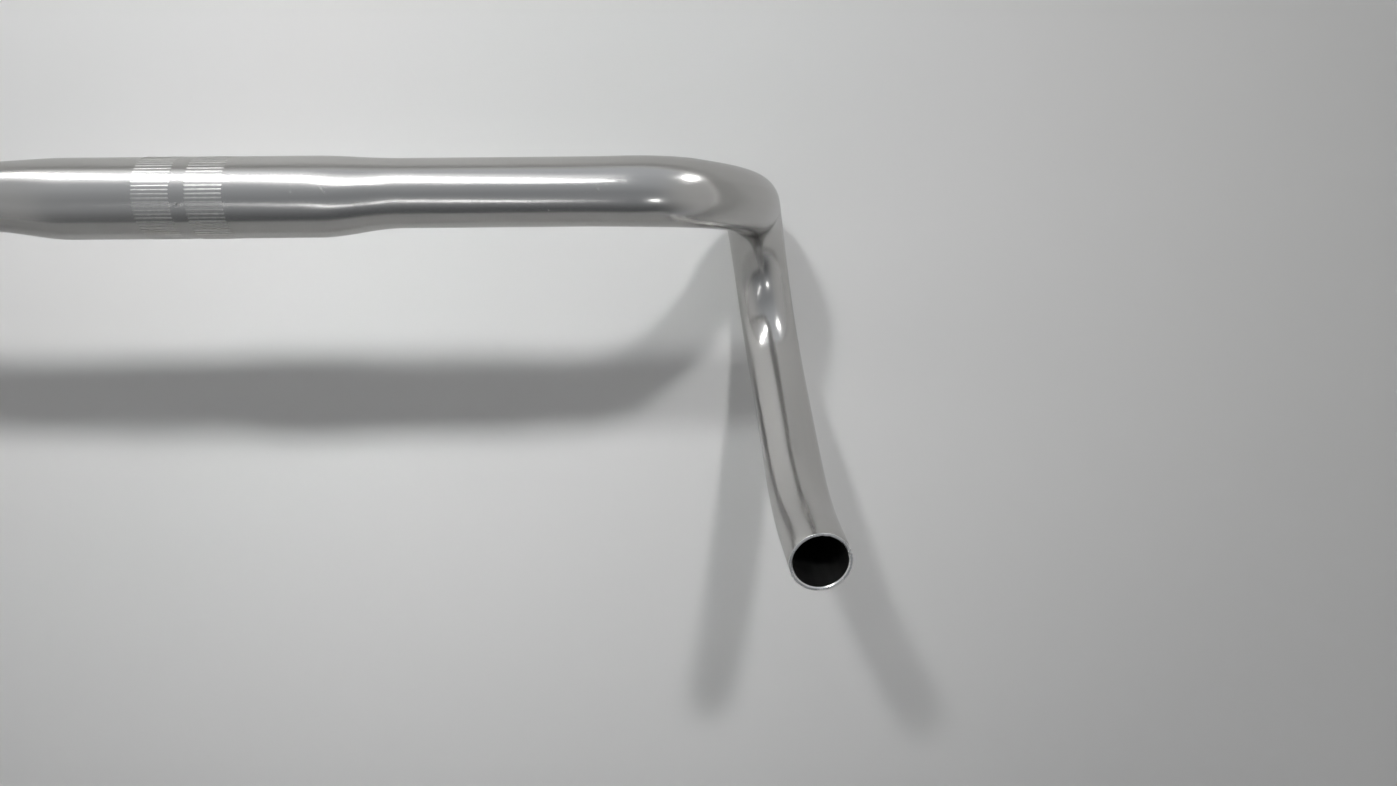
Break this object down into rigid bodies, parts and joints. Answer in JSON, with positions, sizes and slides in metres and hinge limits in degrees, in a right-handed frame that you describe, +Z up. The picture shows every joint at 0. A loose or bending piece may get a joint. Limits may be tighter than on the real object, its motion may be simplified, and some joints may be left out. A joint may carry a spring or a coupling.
{
  "type": "drop handlebar",
  "caption": "Bent aluminium drop handlebar with a thicker round clamp section, smooth tapers, flared drops and open tube ends.",
  "frame": {"origin": "middle of the clamp section, on its axis", "axes": "+X along the bar to the rider's right, +Y forwards, +Z up"},
  "size_m": [0.4272, 0.1349, 0.1462],
  "materials": {
    "polished_tube": "polished and clear anodised"
  },
  "bodies": {
    "root": {"handlebar_tube": "polished_tube"}
  },
  "joints": []
}
